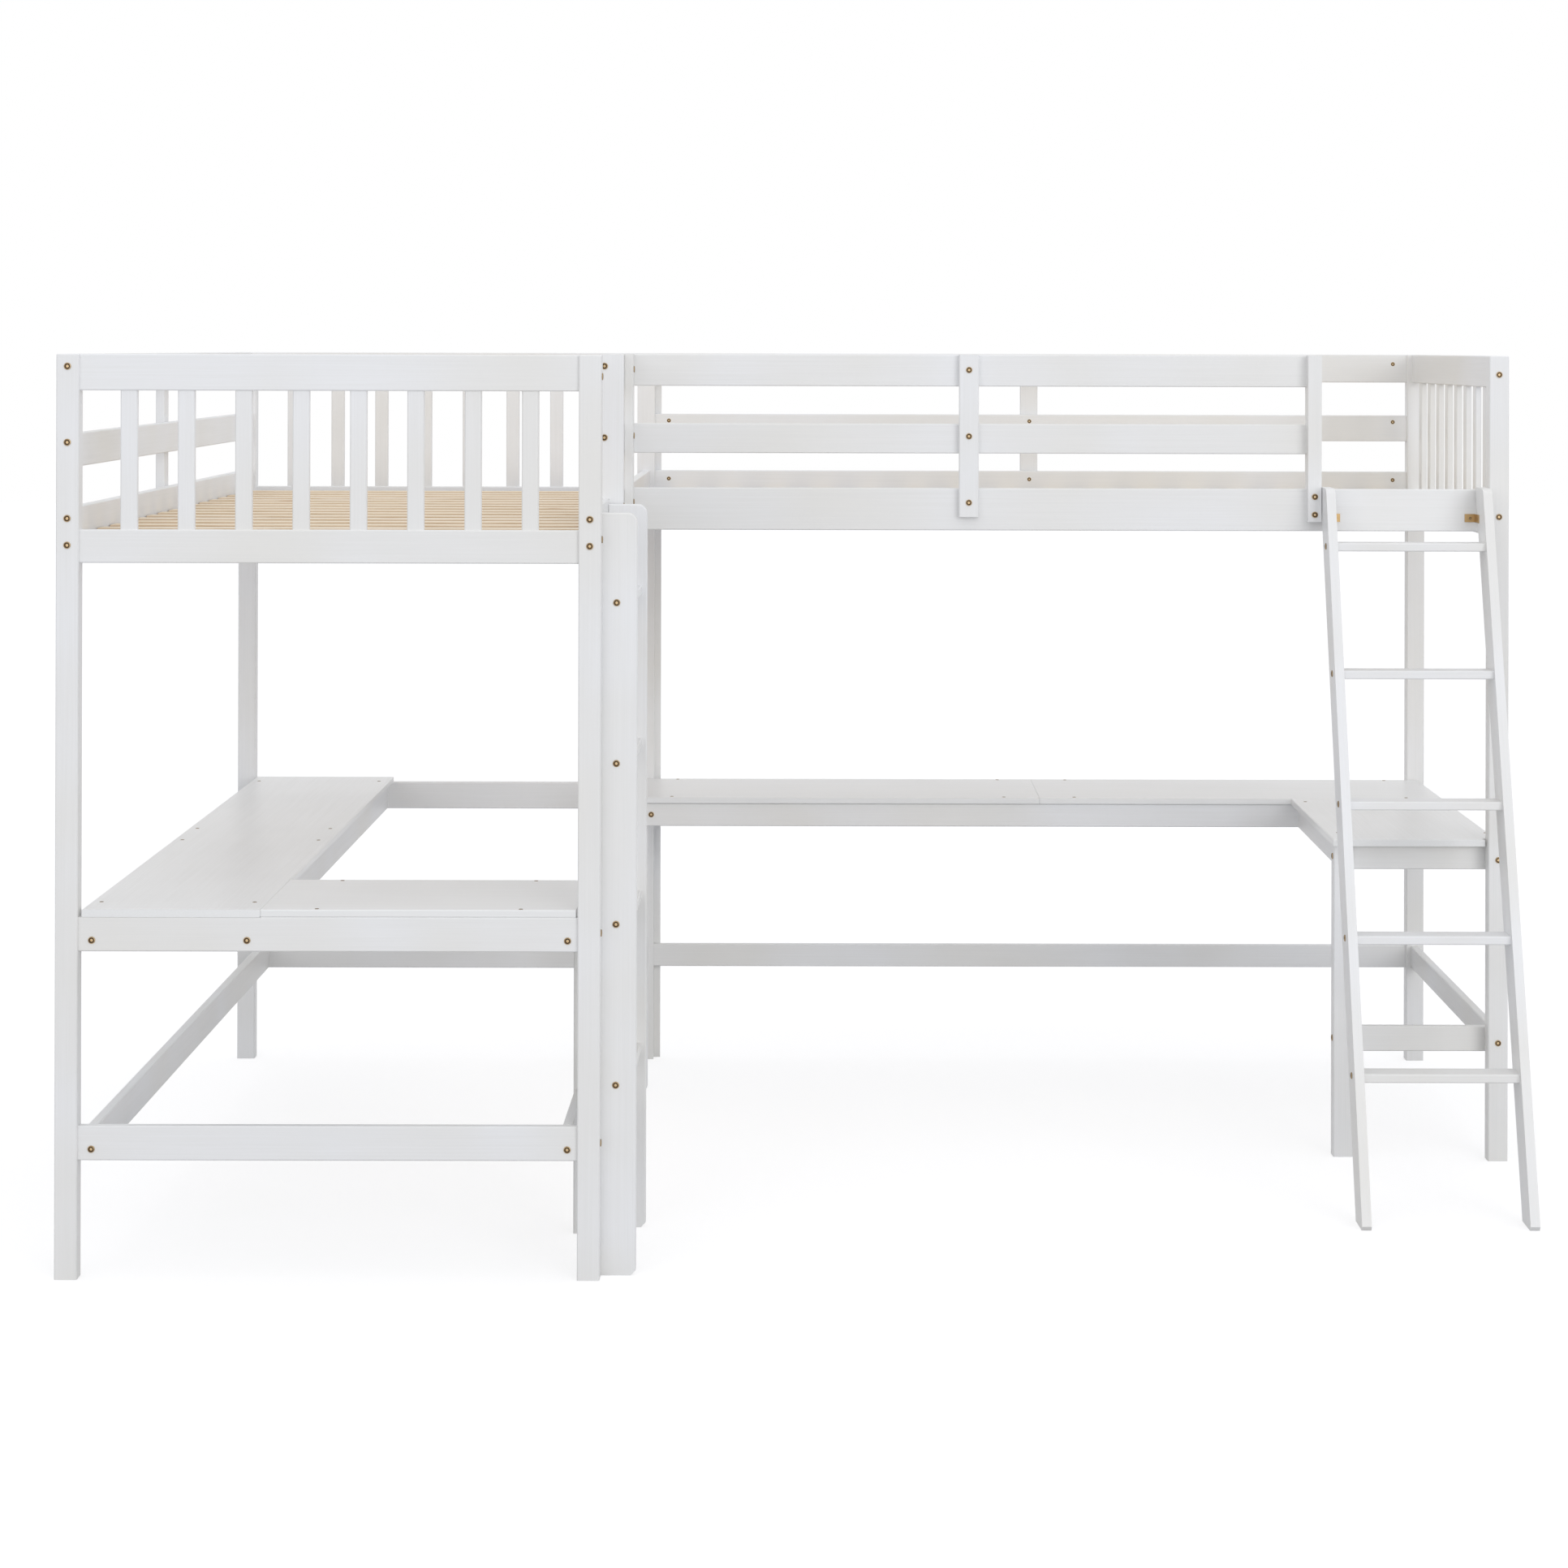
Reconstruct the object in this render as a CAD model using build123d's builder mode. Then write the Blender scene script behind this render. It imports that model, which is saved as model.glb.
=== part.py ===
from build123d import *
import os

# L-shaped loft bed in painted pine. Two single lofts share one corner post: bed A runs from
# front to back on the left, bed B runs along the back to the right. Each has a slatted deck,
# guard rails, a ladder and an L-shaped desk underneath.
# Origin: on the floor, at the middle of the whole outline. +X to the right, +Y back, +Z up.
# All sizes are in millimetres.

# Overall sizes
bed_h = 1800.0          # height of the posts
a_width = 1060.0        # bed A, across
a_length = 2000.0       # bed A, front to back
b_width = 1060.0        # bed B, front to back
b_reach = 1964.0        # bed B, from bed A's right side to the right end

# Timber
post_w = 44.0           # posts and legs, across
post_d = 37.0           # posts and legs, front to back
board_t = 20.0          # thickness of every rail and ladder board
edge_ease = 2.0         # chamfer along the long edges of a board
corner_lip_w = 16.0     # lip of the corner post behind bed B's back rails

# Bed rails, with the height of each lower edge
top_rail_h = 71.0
mid_rail_h = 66.0
mid_rail_z = 1579.0
side_rail_h = 94.0
side_rail_z = 1407.0
end_rail_h = 65.0
end_rail_z = 1393.0

# Upright slats of the end panels
baluster_count = 8
baluster_w = 33.0
baluster_t = 14.0

# Braces outside the guard rails, and the notched newels beside the ladders
brace_w = 44.0
brace_z = 1438.0
a_brace_in = 1000.0     # middle of the brace on bed A's left side, from the front
b_front_brace_in = 756.0    # middle of bed B's front brace, from bed A's right side
b_back_brace_in = 956.0     # middle of bed B's back brace, from bed A's right side
newel_w = 30.0
newel_out = 29.0        # how far a newel stands out past its rail
newel_z = 1429.0

# Slatted decks
deck_z = 1450.0         # top of the bed slats
slat_count = 16
slat_w = 60.0
slat_t = 15.0
slat_end_gap = 3.0
ledger_w = 20.0
ledger_h = 25.0

# Desk A, under bed A
a_desk_z = 719.0        # top of the desk
desk_t = 15.0
seam_gap = 0.5          # between neighbouring desk boards
a_frame_h = 67.0        # depth of its rails
a_top_w = 348.0
a_top_in = 6.0          # from the left posts to the long top
a_top_back_gap = 3.0
a_left_rail_in = 16.0   # from the left posts to the long left rail
a_overhang = 16.0       # of the long top past the middle rail
a_return_w = 357.5
a_return_end_gap = 4.0
a_leg_in = 33.0         # from the right posts' left face to the leg's left face
a_right_rail_in = 30.0  # and to the right rail's left face
a_leg_back = 7.0        # the leg stands this far out behind the return top

# Desk B, under bed B
b_desk_z = 716.0
b_frame_h = 56.0
b_top_w = 347.0
b_top_left_in = 24.0    # long top's left end, short of the corner post's right face
b_top_right_in = 19.0   # from the right end of the bed to the desk tops
b_top_back_gap = 3.0
b_front_rail_in = 8.0
b_left_rail_gap = 2.0   # from the corner post's right face to the left rail
b_return_w = 369.0
b_return_front_in = 17.0    # from the front of bed B to the return top
b_leg_in = 4.0          # from the return top's left edge to the leg
notch_gap = 4.0         # round the post that the return top is notched for

# Low rails, and where they sit
low_rail_mid = 264.0

# Ladders
ladder_w = 367.0        # over both side boards
stile_w = 80.0          # width of a side board
stile_round = 20.0      # on the upper outer corner
stile_foot_cut = 10.0   # on the lower outer corner
ladder_gap = 0.3        # between a ladder and the rail that it is fixed to
rung_t = 18.0
rung_d = 60.0
a_ladder_short = 10.0   # ladder A stops this far below the side rail's upper edge
a_ladder_in = 1.0       # from the front right post to ladder A
a_newel_gap = 5.0
a_rung_count = 4
a_rung_z = 372.0        # mid height of the lowest rung
a_rung_pitch = 314.5
b_ladder_over = 5.0     # ladder B stands this far above the side rail
b_ladder_run = 504.0    # how far ladder B's foot stands out from its top
b_ladder_in = 9.5       # from the right front post to ladder B
b_newel_gap = 1.5
b_rung_count = 5
b_rung_z = 290.0
b_rung_pitch = 272.0

# Angle brackets that fix the ladders to the side rails
bracket_t = 2.0
bracket_h = 18.0
bracket_leg = 24.0
bracket_reach = 44.0    # the longer leg, along a leaning side board
bracket_up = 21.0       # above a side rail's lower edge

# Bolt heads
bolt_r = 7.0
bolt_t = 2.2
top_bolt_drop = 24.0    # below the top of a post, into a guard rail
mid_bolt_drop = 17.0    # below a middle rail's upper edge
side_bolt_in = 21.0     # from a side rail's upper and lower edges
end_bolt_drop = 42.0    # below the top of a post, into an end panel
end_low_bolt_drop = 18.0
brace_bolt_drop = 10.0  # braces are bolted this much lower than the posts
newel_bolt_in = 16.0
frame_bolt_up = 22.0    # above the lower edge of a desk's front rail


def mid(pair):
    """Middle between a low and a high side."""
    return (pair[0] + pair[1]) / 2


def span(start, size):
    """Low and high side of a piece that starts at start."""
    return (start, start + size)


def centred(middle, size):
    """Low and high side of a piece about its middle."""
    return (middle - size / 2, middle + size / 2)


def spread(between, count, size):
    """Sides of equal pieces, with equal gaps between them and at both ends."""
    gap = (between[1] - between[0] - count * size) / (count + 1)
    return [span(between[0] + gap + i * (size + gap), size) for i in range(count)]


def rectangle(x, y):
    """A rectangle in the current sketch, from its low and high sides."""
    with Locations((mid(x), mid(y))):
        Rectangle(x[1] - x[0], y[1] - y[0])


def keep(piece, name):
    """Label a finished piece and write it."""
    piece.part.label = name
    export_step(piece.part, f"parts/{name}.step")


def boards(name, boxes, axis):
    """Straight boards with eased long edges. Each box is (x, y, z), as low and high sides."""
    with BuildPart() as group:
        for x, y, z in boxes:
            with BuildSketch(Plane.XY.offset(z[0])):
                rectangle(x, y)
            extrude(amount=z[1] - z[0])
        chamfer(group.edges().filter_by(axis), edge_ease)
    keep(group, name)


os.makedirs("parts", exist_ok=True)

# Main planes
rail_in_x = (post_w - board_t) / 2
rail_in_y = (post_d - board_t) / 2
brace_out_x = board_t - rail_in_x
brace_out_y = board_t - rail_in_y
x_left = -(a_width + b_reach - brace_out_x) / 2
x_a = x_left + a_width
x_right = x_a + b_reach
y_front = -(a_length + brace_out_y) / 2
y_back = y_front + a_length
y_b = y_back - b_width

# Posts, as their low and high sides
left_post = span(x_left, post_w)
mid_post = span(x_a - post_w, post_w)
right_post = span(x_right - post_w, post_w)
front_post = span(y_front, post_d)
b_post = span(y_b, post_d)
back_post = span(y_back - post_d, post_d)

# Rails stand centred on the posts
a_left_x = centred(mid(left_post), board_t)
a_right_x = centred(mid(mid_post), board_t)
b_end_x = centred(mid(right_post), board_t)
front_y = centred(mid(front_post), board_t)
b_front_y = centred(mid(b_post), board_t)
back_y = centred(mid(back_post), board_t)

# Clear runs between the posts
a_run_x = (left_post[1], mid_post[0])
a_run_y = (front_post[1], back_post[0])
b_run_y = (b_post[1], back_post[0])
b_front_run = (a_right_x[1], right_post[0])
b_back_run = (mid_post[1], right_post[0])

# Heights
top_z = (bed_h - top_rail_h, bed_h)
mid_z = span(mid_rail_z, mid_rail_h)
side_z = span(side_rail_z, side_rail_h)
end_z = span(end_rail_z, end_rail_h)
slat_z = (deck_z - slat_t, deck_z)
ledger_z = (slat_z[0] - ledger_h, slat_z[0])
a_top_z = (a_desk_z - desk_t, a_desk_z)
b_top_z = (b_desk_z - desk_t, b_desk_z)
a_frame_z = (a_top_z[0] - a_frame_h, a_top_z[0])
b_frame_z = (b_top_z[0] - b_frame_h, b_top_z[0])
a_low_z = centred(low_rail_mid, a_frame_h)
b_low_z = centred(low_rail_mid, b_frame_h)

# Ladders, and the newels beside them
a_ladder_h = side_z[1] - a_ladder_short
b_ladder_h = side_z[1] + b_ladder_over
a_ladder_y = span(front_post[1] + a_ladder_in, ladder_w)
a_stile_x = span(a_right_x[1] + ladder_gap, stile_w)
a_stile_y = [span(a_ladder_y[0], board_t), span(a_ladder_y[1] - board_t, board_t)]
a_newel_y = span(a_ladder_y[1] + a_newel_gap, newel_w)
b_ladder_x = span(right_post[0] - b_ladder_in - ladder_w, ladder_w)
b_stile_x = [span(b_ladder_x[0], board_t), span(b_ladder_x[1] - board_t, board_t)]
b_newel_x = span(b_ladder_x[0] - b_newel_gap - newel_w, newel_w)
b_slope = b_ladder_run / b_ladder_h
b_stile_d = stile_w * (1 + b_slope ** 2) ** 0.5
b_top_y = b_front_y[0] - ladder_gap
b_foot_y = span(b_top_y - b_ladder_run - b_stile_d, b_stile_d)

# Posts
posts = {
    "post_a_front_left": (left_post, front_post),
    "post_a_front_right": (mid_post, front_post),
    "post_a_back_left": (left_post, back_post),
    "post_b_front_right": (right_post, b_post),
    "post_b_back_right": (right_post, back_post),
}
for name, (x, y) in posts.items():
    with BuildPart() as post:
        with BuildSketch():
            rectangle(x, y)
        extrude(amount=bed_h)
        chamfer(post.edges().filter_by(Axis.Z), edge_ease)
        chamfer(post.faces().sort_by(Axis.Z)[-1].edges(), edge_ease)
    keep(post, name)

# The corner post carries both beds. Its lip covers the ends of bed B's back rails.
with BuildPart() as corner_post:
    with BuildSketch():
        rectangle(mid_post, back_post)
        rectangle(span(mid_post[1], corner_lip_w), (back_y[1], y_back))
    extrude(amount=bed_h)
    chamfer(corner_post.faces().sort_by(Axis.Z)[-1].edges(), edge_ease)
keep(corner_post, "corner_post")

# End panels: a top rail, a lower rail and upright slats between them
for name, y in {"a_front": front_y, "a_back": back_y}.items():
    boards(f"{name}_top_rail", [(a_run_x, y, top_z)], Axis.X)
    boards(f"{name}_low_rail", [(a_run_x, y, end_z)], Axis.X)
    thin_y = centred(mid(y), baluster_t)
    boards(f"{name}_balusters", [(x, thin_y, (end_z[1], top_z[0]))
                                 for x in spread(a_run_x, baluster_count, baluster_w)], Axis.Z)
boards("b_end_top_rail", [(b_end_x, b_run_y, top_z)], Axis.Y)
boards("b_end_low_rail", [(b_end_x, b_run_y, end_z)], Axis.Y)
boards("b_end_balusters", [(centred(mid(b_end_x), baluster_t), y, (end_z[1], top_z[0]))
                           for y in spread(b_run_y, baluster_count, baluster_w)], Axis.Z)

# Side rails
boards("side_rail_a_left", [(a_left_x, a_run_y, side_z)], Axis.Y)
boards("side_rail_a_right", [(a_right_x, a_run_y, side_z)], Axis.Y)
boards("side_rail_b_front", [(b_front_run, b_front_y, side_z)], Axis.X)
boards("side_rail_b_back", [(b_back_run, back_y, side_z)], Axis.X)

# Guard rails: a top and a middle rail on each side. Bed A is open behind towards bed B.
guards = {
    "guard_rails_a_left": (a_left_x, a_run_y, Axis.Y),
    "guard_rails_a_right": (a_right_x, (a_newel_y[1], b_front_y[1]), Axis.Y),
    "guard_rails_b_front": ((a_right_x[1], b_newel_x[0]), b_front_y, Axis.X),
    "guard_rails_b_back": (b_back_run, back_y, Axis.X),
}
for name, (x, y, axis) in guards.items():
    boards(name, [(x, y, top_z), (x, y, mid_z)], axis)

# Braces that tie the guard rails to the side rails, on their outer faces
a_brace_y = centred(y_front + a_brace_in, brace_w)
a_end_brace_y = (b_front_y[0] - brace_w, b_front_y[0])
b_brace_x = centred(x_a + b_front_brace_in, brace_w)
b_back_brace_x = centred(x_a + b_back_brace_in, brace_w)
brace_span_z = (brace_z, bed_h)
boards("guard_braces", [
    ((a_left_x[0] - board_t, a_left_x[0]), a_brace_y, brace_span_z),
    (span(a_right_x[1], board_t), a_end_brace_y, brace_span_z),
    (b_brace_x, (b_front_y[0] - board_t, b_front_y[0]), brace_span_z),
    (b_back_brace_x, span(back_y[1], board_t), brace_span_z),
], Axis.Z)

# Newels beside the ladders, notched to sit on the side rails
with BuildPart() as newel_a:
    with BuildSketch(Plane.XZ.offset(-a_newel_y[1])):
        rectangle((a_right_x[0], a_right_x[1] + newel_out), (side_z[1], bed_h))
        rectangle(span(a_right_x[1], newel_out), (newel_z, side_z[1]))
    extrude(amount=newel_w)
keep(newel_a, "newel_a")
with BuildPart() as newel_b:
    with BuildSketch(Plane.YZ.offset(b_newel_x[0])):
        rectangle((b_front_y[0] - newel_out, b_front_y[1]), (side_z[1], bed_h))
        rectangle((b_front_y[0] - newel_out, b_front_y[0]), (newel_z, side_z[1]))
    extrude(amount=newel_w)
keep(newel_b, "newel_b")

# Slatted decks on ledgers
a_deck_y = (front_y[1], back_y[0])
b_deck_x = (a_right_x[1], b_end_x[0])
a_slat_x = (a_left_x[1] + slat_end_gap, a_right_x[0] - slat_end_gap)
b_slat_y = (b_front_y[1] + slat_end_gap, back_y[0] - slat_end_gap)
boards("slats_a", [(a_slat_x, y, slat_z) for y in spread(a_deck_y, slat_count, slat_w)], Axis.X)
boards("slats_b", [(x, b_slat_y, slat_z) for x in spread(b_deck_x, slat_count, slat_w)], Axis.Y)
boards("slat_ledgers_a", [
    (span(a_left_x[1], ledger_w), a_run_y, ledger_z),
    ((a_right_x[0] - ledger_w, a_right_x[0]), a_run_y, ledger_z),
], Axis.Y)
boards("slat_ledgers_b", [
    (b_front_run, span(b_front_y[1], ledger_w), ledger_z),
    (b_back_run, (back_y[0] - ledger_w, back_y[0]), ledger_z),
], Axis.X)

# Desk A: a long top in two boards, and a return top along the front
a_long_x = span(a_run_x[0] + a_top_in, a_top_w)
a_long_y = (front_y[0], a_run_y[1] - a_top_back_gap)
a_return_x = (a_long_x[1] + seam_gap, a_run_x[1] - a_return_end_gap)
a_return_y = span(a_long_y[0], a_return_w)
boards("desk_a_long_top", [
    (a_long_x, (a_long_y[0], mid(a_long_y) - seam_gap / 2), a_top_z),
    (a_long_x, (mid(a_long_y) + seam_gap / 2, a_long_y[1]), a_top_z),
], Axis.Y)
boards("desk_a_return_top", [(a_return_x, a_return_y, a_top_z)], Axis.X)

# Desk A: leg and rails
a_outer_x = span(a_run_x[0] + a_left_rail_in, board_t)
a_inner_x = (a_long_x[1] - a_overhang - board_t, a_long_x[1] - a_overhang)
a_short_x = span(a_run_x[1] - a_right_rail_in, board_t)
a_leg_x = span(a_run_x[1] - a_leg_in, post_w)
a_leg_y = span(a_return_y[1] + a_leg_back - post_d, post_d)
a_rear_y = centred(mid(a_leg_y), board_t)
a_between_y = (front_y[1], back_y[0])
a_short_y = (front_y[1], a_leg_y[0])
boards("desk_a_leg", [(a_leg_x, a_leg_y, (0, a_top_z[0]))], Axis.Z)
boards("desk_a_front_rail", [(a_run_x, front_y, a_frame_z)], Axis.X)
boards("desk_a_back_rail", [(a_run_x, back_y, a_frame_z)], Axis.X)
boards("desk_a_left_rail", [(a_outer_x, a_between_y, a_frame_z)], Axis.Y)
boards("desk_a_middle_rail", [(a_inner_x, a_between_y, a_frame_z)], Axis.Y)
boards("desk_a_right_rail", [(a_short_x, a_short_y, a_frame_z)], Axis.Y)
boards("desk_a_rear_rail", [((a_inner_x[1], a_leg_x[0]), a_rear_y, a_frame_z)], Axis.X)

# Desk B: a long top in two boards along the back
b_long_x = (mid_post[1] - b_top_left_in, x_right - b_top_right_in)
b_long_y = (b_run_y[1] - b_top_back_gap - b_top_w, b_run_y[1] - b_top_back_gap)
boards("desk_b_long_top", [
    ((b_long_x[0], mid(b_long_x) - seam_gap / 2), b_long_y, b_top_z),
    ((mid(b_long_x) + seam_gap / 2, b_long_x[1]), b_long_y, b_top_z),
], Axis.X)

# Desk B: the return top is notched round the right front post
b_return_x = (b_long_x[1] - b_return_w, b_long_x[1])
b_return_y = (y_b + b_return_front_in, b_long_y[0] - seam_gap)
with BuildPart() as return_top:
    with BuildSketch(Plane.XY.offset(b_top_z[0])):
        rectangle(b_return_x, b_return_y)
        with Locations((right_post[0] - notch_gap, b_post[1] + notch_gap)):
            Rectangle(post_w + notch_gap, post_d + notch_gap, align=(Align.MIN, Align.MAX),
                      mode=Mode.SUBTRACT)
    extrude(amount=desk_t)
    chamfer(return_top.edges().group_by(Axis.Z)[-1], edge_ease)
keep(return_top, "desk_b_return_top")

# Desk B: legs and rails
b_leg_x = span(b_return_x[0] + b_leg_in, post_w)
b_leg_y = span(b_post[1], post_d)
b_inner_x = centred(mid(b_leg_x), board_t)
b_short_y = centred(mid(b_leg_y), board_t)
b_rail_y = span(b_long_y[0] + b_front_rail_in, board_t)
b_left_x = span(mid_post[1] + b_left_rail_gap, board_t)
b_left_leg_x = (b_left_x[0] - post_w, b_left_x[0])
b_left_leg_y = span(b_rail_y[1], post_d)
boards("desk_b_leg", [(b_leg_x, b_leg_y, (0, b_top_z[0]))], Axis.Z)
boards("desk_b_left_leg", [(b_left_leg_x, b_left_leg_y, (0, b_top_z[0]))], Axis.Z)
boards("desk_b_front_rail", [((b_left_leg_x[0], b_end_x[0]), b_rail_y, b_frame_z)], Axis.X)
boards("desk_b_back_rail", [(b_back_run, back_y, b_frame_z)], Axis.X)
boards("desk_b_left_rail", [(b_left_x, (b_rail_y[1], back_y[0]), b_frame_z)], Axis.Y)
boards("desk_b_inner_rail", [(b_inner_x, (b_leg_y[1], b_rail_y[0]), b_frame_z)], Axis.Y)
boards("desk_b_short_rail", [((b_leg_x[1], b_end_x[0]), b_short_y, b_frame_z)], Axis.X)
boards("desk_b_right_rail", [(b_end_x, b_run_y, b_frame_z)], Axis.Y)

# Low rails that tie the posts and legs together
boards("low_rails_a_across", [(a_run_x, front_y, a_low_z), (a_run_x, back_y, a_low_z)], Axis.X)
boards("low_rails_a_along", [(a_outer_x, a_between_y, a_low_z), (a_short_x, a_short_y, a_low_z)],
       Axis.Y)
boards("low_rails_b_across", [
    (b_back_run, back_y, b_low_z),
    ((b_leg_x[1], b_end_x[0]), b_short_y, b_low_z),
], Axis.X)
boards("low_rail_b_right", [(b_end_x, b_run_y, b_low_z)], Axis.Y)

# Ladder A stands upright outside bed A's right side
with BuildPart() as ladder_a_stiles:
    for y in a_stile_y:
        with BuildSketch(Plane.XZ.offset(-y[1])):
            rectangle(a_stile_x, (0, a_ladder_h))
            fillet(vertices().group_by(Axis.X)[-1].sort_by(Axis.Y)[-1], stile_round)
            chamfer(vertices().group_by(Axis.X)[-1].sort_by(Axis.Y)[0], stile_foot_cut)
        extrude(amount=board_t)
    chamfer(ladder_a_stiles.edges().filter_by(Axis.Z), edge_ease)
keep(ladder_a_stiles, "ladder_a_stiles")
a_rungs_z = [a_rung_z + i * a_rung_pitch for i in range(a_rung_count)]
a_rung_x = centred(mid(a_stile_x), rung_d)
boards("ladder_a_rungs", [(a_rung_x, (a_stile_y[0][1], a_stile_y[1][0]), centred(z, rung_t))
                          for z in a_rungs_z], Axis.Y)

# Ladder B leans on bed B's front rail: its side boards are cut level at the foot and the top
with BuildPart() as ladder_b_stiles:
    for x in b_stile_x:
        with BuildSketch(Plane.YZ.offset(x[0])):
            with BuildLine():
                Polyline((b_foot_y[0], 0), (b_foot_y[1], 0), (b_top_y, b_ladder_h),
                         (b_top_y - b_stile_d, b_ladder_h), close=True)
            make_face()
            fillet(vertices().group_by(Axis.Y)[-1].sort_by(Axis.X)[0], stile_round)
            chamfer(vertices().group_by(Axis.Y)[0].sort_by(Axis.X)[0], stile_foot_cut)
        extrude(amount=board_t)
keep(ladder_b_stiles, "ladder_b_stiles")
b_rungs_z = [b_rung_z + i * b_rung_pitch for i in range(b_rung_count)]
b_rungs_y = [mid(b_foot_y) + b_slope * z for z in b_rungs_z]
boards("ladder_b_rungs", [((b_stile_x[0][1], b_stile_x[1][0]), centred(y, rung_d), centred(z, rung_t))
                          for y, z in zip(b_rungs_y, b_rungs_z)], Axis.X)

# Angle brackets in the corners between the ladders and the side rails
with BuildPart() as ladder_brackets:
    with BuildSketch(Plane.XY.offset(side_z[0] + bracket_up)):
        for y, way in ((a_stile_y[0][1], 1), (a_stile_y[1][0], -1)):
            rectangle(sorted((a_right_x[1], a_right_x[1] + bracket_leg)),
                      sorted((y, y + way * bracket_t)))
            rectangle(sorted((a_right_x[1], a_right_x[1] + bracket_t)),
                      sorted((y, y + way * bracket_leg)))
        for x, way in ((b_stile_x[0][1], 1), (b_stile_x[1][0], -1)):
            rectangle(sorted((x, x + way * bracket_leg)), (b_front_y[0] - bracket_t, b_front_y[0]))
            rectangle(sorted((x, x + way * bracket_t)), (b_front_y[0] - bracket_reach, b_front_y[0]))
    extrude(amount=bracket_h)
keep(ladder_brackets, "ladder_brackets")

# Bolt heads. Each entry is the middle of a head on its face, and the way that the face looks.
left, right, front, back = (-1, 0, 0), (1, 0, 0), (0, -1, 0), (0, 1, 0)
side_bolts_z = [side_z[0] + side_bolt_in, side_z[1] - side_bolt_in]
guard_bolts_z = [mid_z[1] - mid_bolt_drop, bed_h - top_bolt_drop]
end_bolts_z = [end_z[1] - end_low_bolt_drop, bed_h - end_bolt_drop]
frame_bolts_z = [low_rail_mid, mid(b_frame_z)]
brace_bolts_z = [z - brace_bolt_drop for z in side_bolts_z[1:] + guard_bolts_z]
newel_bolts_z = [newel_z + newel_bolt_in, side_z[1] - newel_bolt_in]
heads = []
for z in side_bolts_z + guard_bolts_z:
    heads.append(((mid(left_post), y_front, z), front))
    heads.append(((mid(left_post), y_back, z), back))
    heads.append(((x_right, mid(back_post), z), right))
for z in side_bolts_z:
    heads.append(((mid(mid_post), y_front, z), front))
    heads.append(((mid(mid_post), y_back, z), back))
    heads.append(((x_right, mid(b_post), z), right))
for z in end_bolts_z + frame_bolts_z:
    heads.append(((x_left, mid(front_post), z), left))
    heads.append(((x_left, mid(back_post), z), left))
    heads.append(((x_a, mid(front_post), z), right))
    heads.append(((mid(right_post), y_b, z), front))
    heads.append(((mid(right_post), y_back, z), back))
for z in brace_bolts_z:
    heads.append(((a_left_x[0] - board_t, mid(a_brace_y), z), left))
    heads.append(((a_right_x[1] + board_t, mid(a_end_brace_y), z), right))
    heads.append(((mid(b_brace_x), b_front_y[0] - board_t, z), front))
    heads.append(((mid(b_back_brace_x), back_y[1] + board_t, z), back))
for z in newel_bolts_z:
    heads.append(((a_right_x[1] + newel_out, mid(a_newel_y), z), right))
    heads.append(((mid(b_newel_x), b_front_y[0] - newel_out, z), front))
for z in guard_bolts_z:
    heads.append(((mid(a_right_x), a_newel_y[0], z), front))
    heads.append(((b_newel_x[1], mid(b_front_y), z), right))
for x in (mid(a_outer_x), mid(a_inner_x), mid(a_short_x)):
    heads.append(((x, front_y[0], a_frame_z[0] + frame_bolt_up), front))
for x in (mid(a_outer_x), mid(a_short_x)):
    heads.append(((x, front_y[0], a_low_z[0] + frame_bolt_up), front))
for z in frame_bolts_z:
    heads.append(((mid(a_short_x), a_leg_y[1], z), back))
    heads.append(((b_leg_x[0], mid(b_short_y), z), left))
    heads.append(((b_end_x[1], mid(b_short_y), z), right))
heads.append(((mid(b_left_x), b_rail_y[0], mid(b_frame_z)), front))
for z in a_rungs_z:
    heads.append(((mid(a_stile_x), a_stile_y[0][0], z), front))
    heads.append(((mid(a_stile_x), a_stile_y[1][1], z), back))
for y, z in zip(b_rungs_y, b_rungs_z):
    heads.append(((b_stile_x[0][0], y, z), left))
    heads.append(((b_stile_x[1][1], y, z), right))
with BuildPart() as bolts:
    for place, way in heads:
        with BuildSketch(Plane(origin=place, z_dir=way)):
            Circle(bolt_r)
    extrude(amount=bolt_t)
keep(bolts, "bolts")
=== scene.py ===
# %% [markdown]
# An L-shaped loft bed in white painted pine, dressed for a render. The boards, posts and ladders
# are finished solids that come with the frame, so this lesson is about their surfaces: paint over
# wood grain, bare pine, and small antique brass hardware modelled with whole-array formulas.

# %% Load the frame
import math

import bpy
import numpy as np
from mathutils import Matrix, Vector
from mathutils.bvhtree import BVHTree


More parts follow.
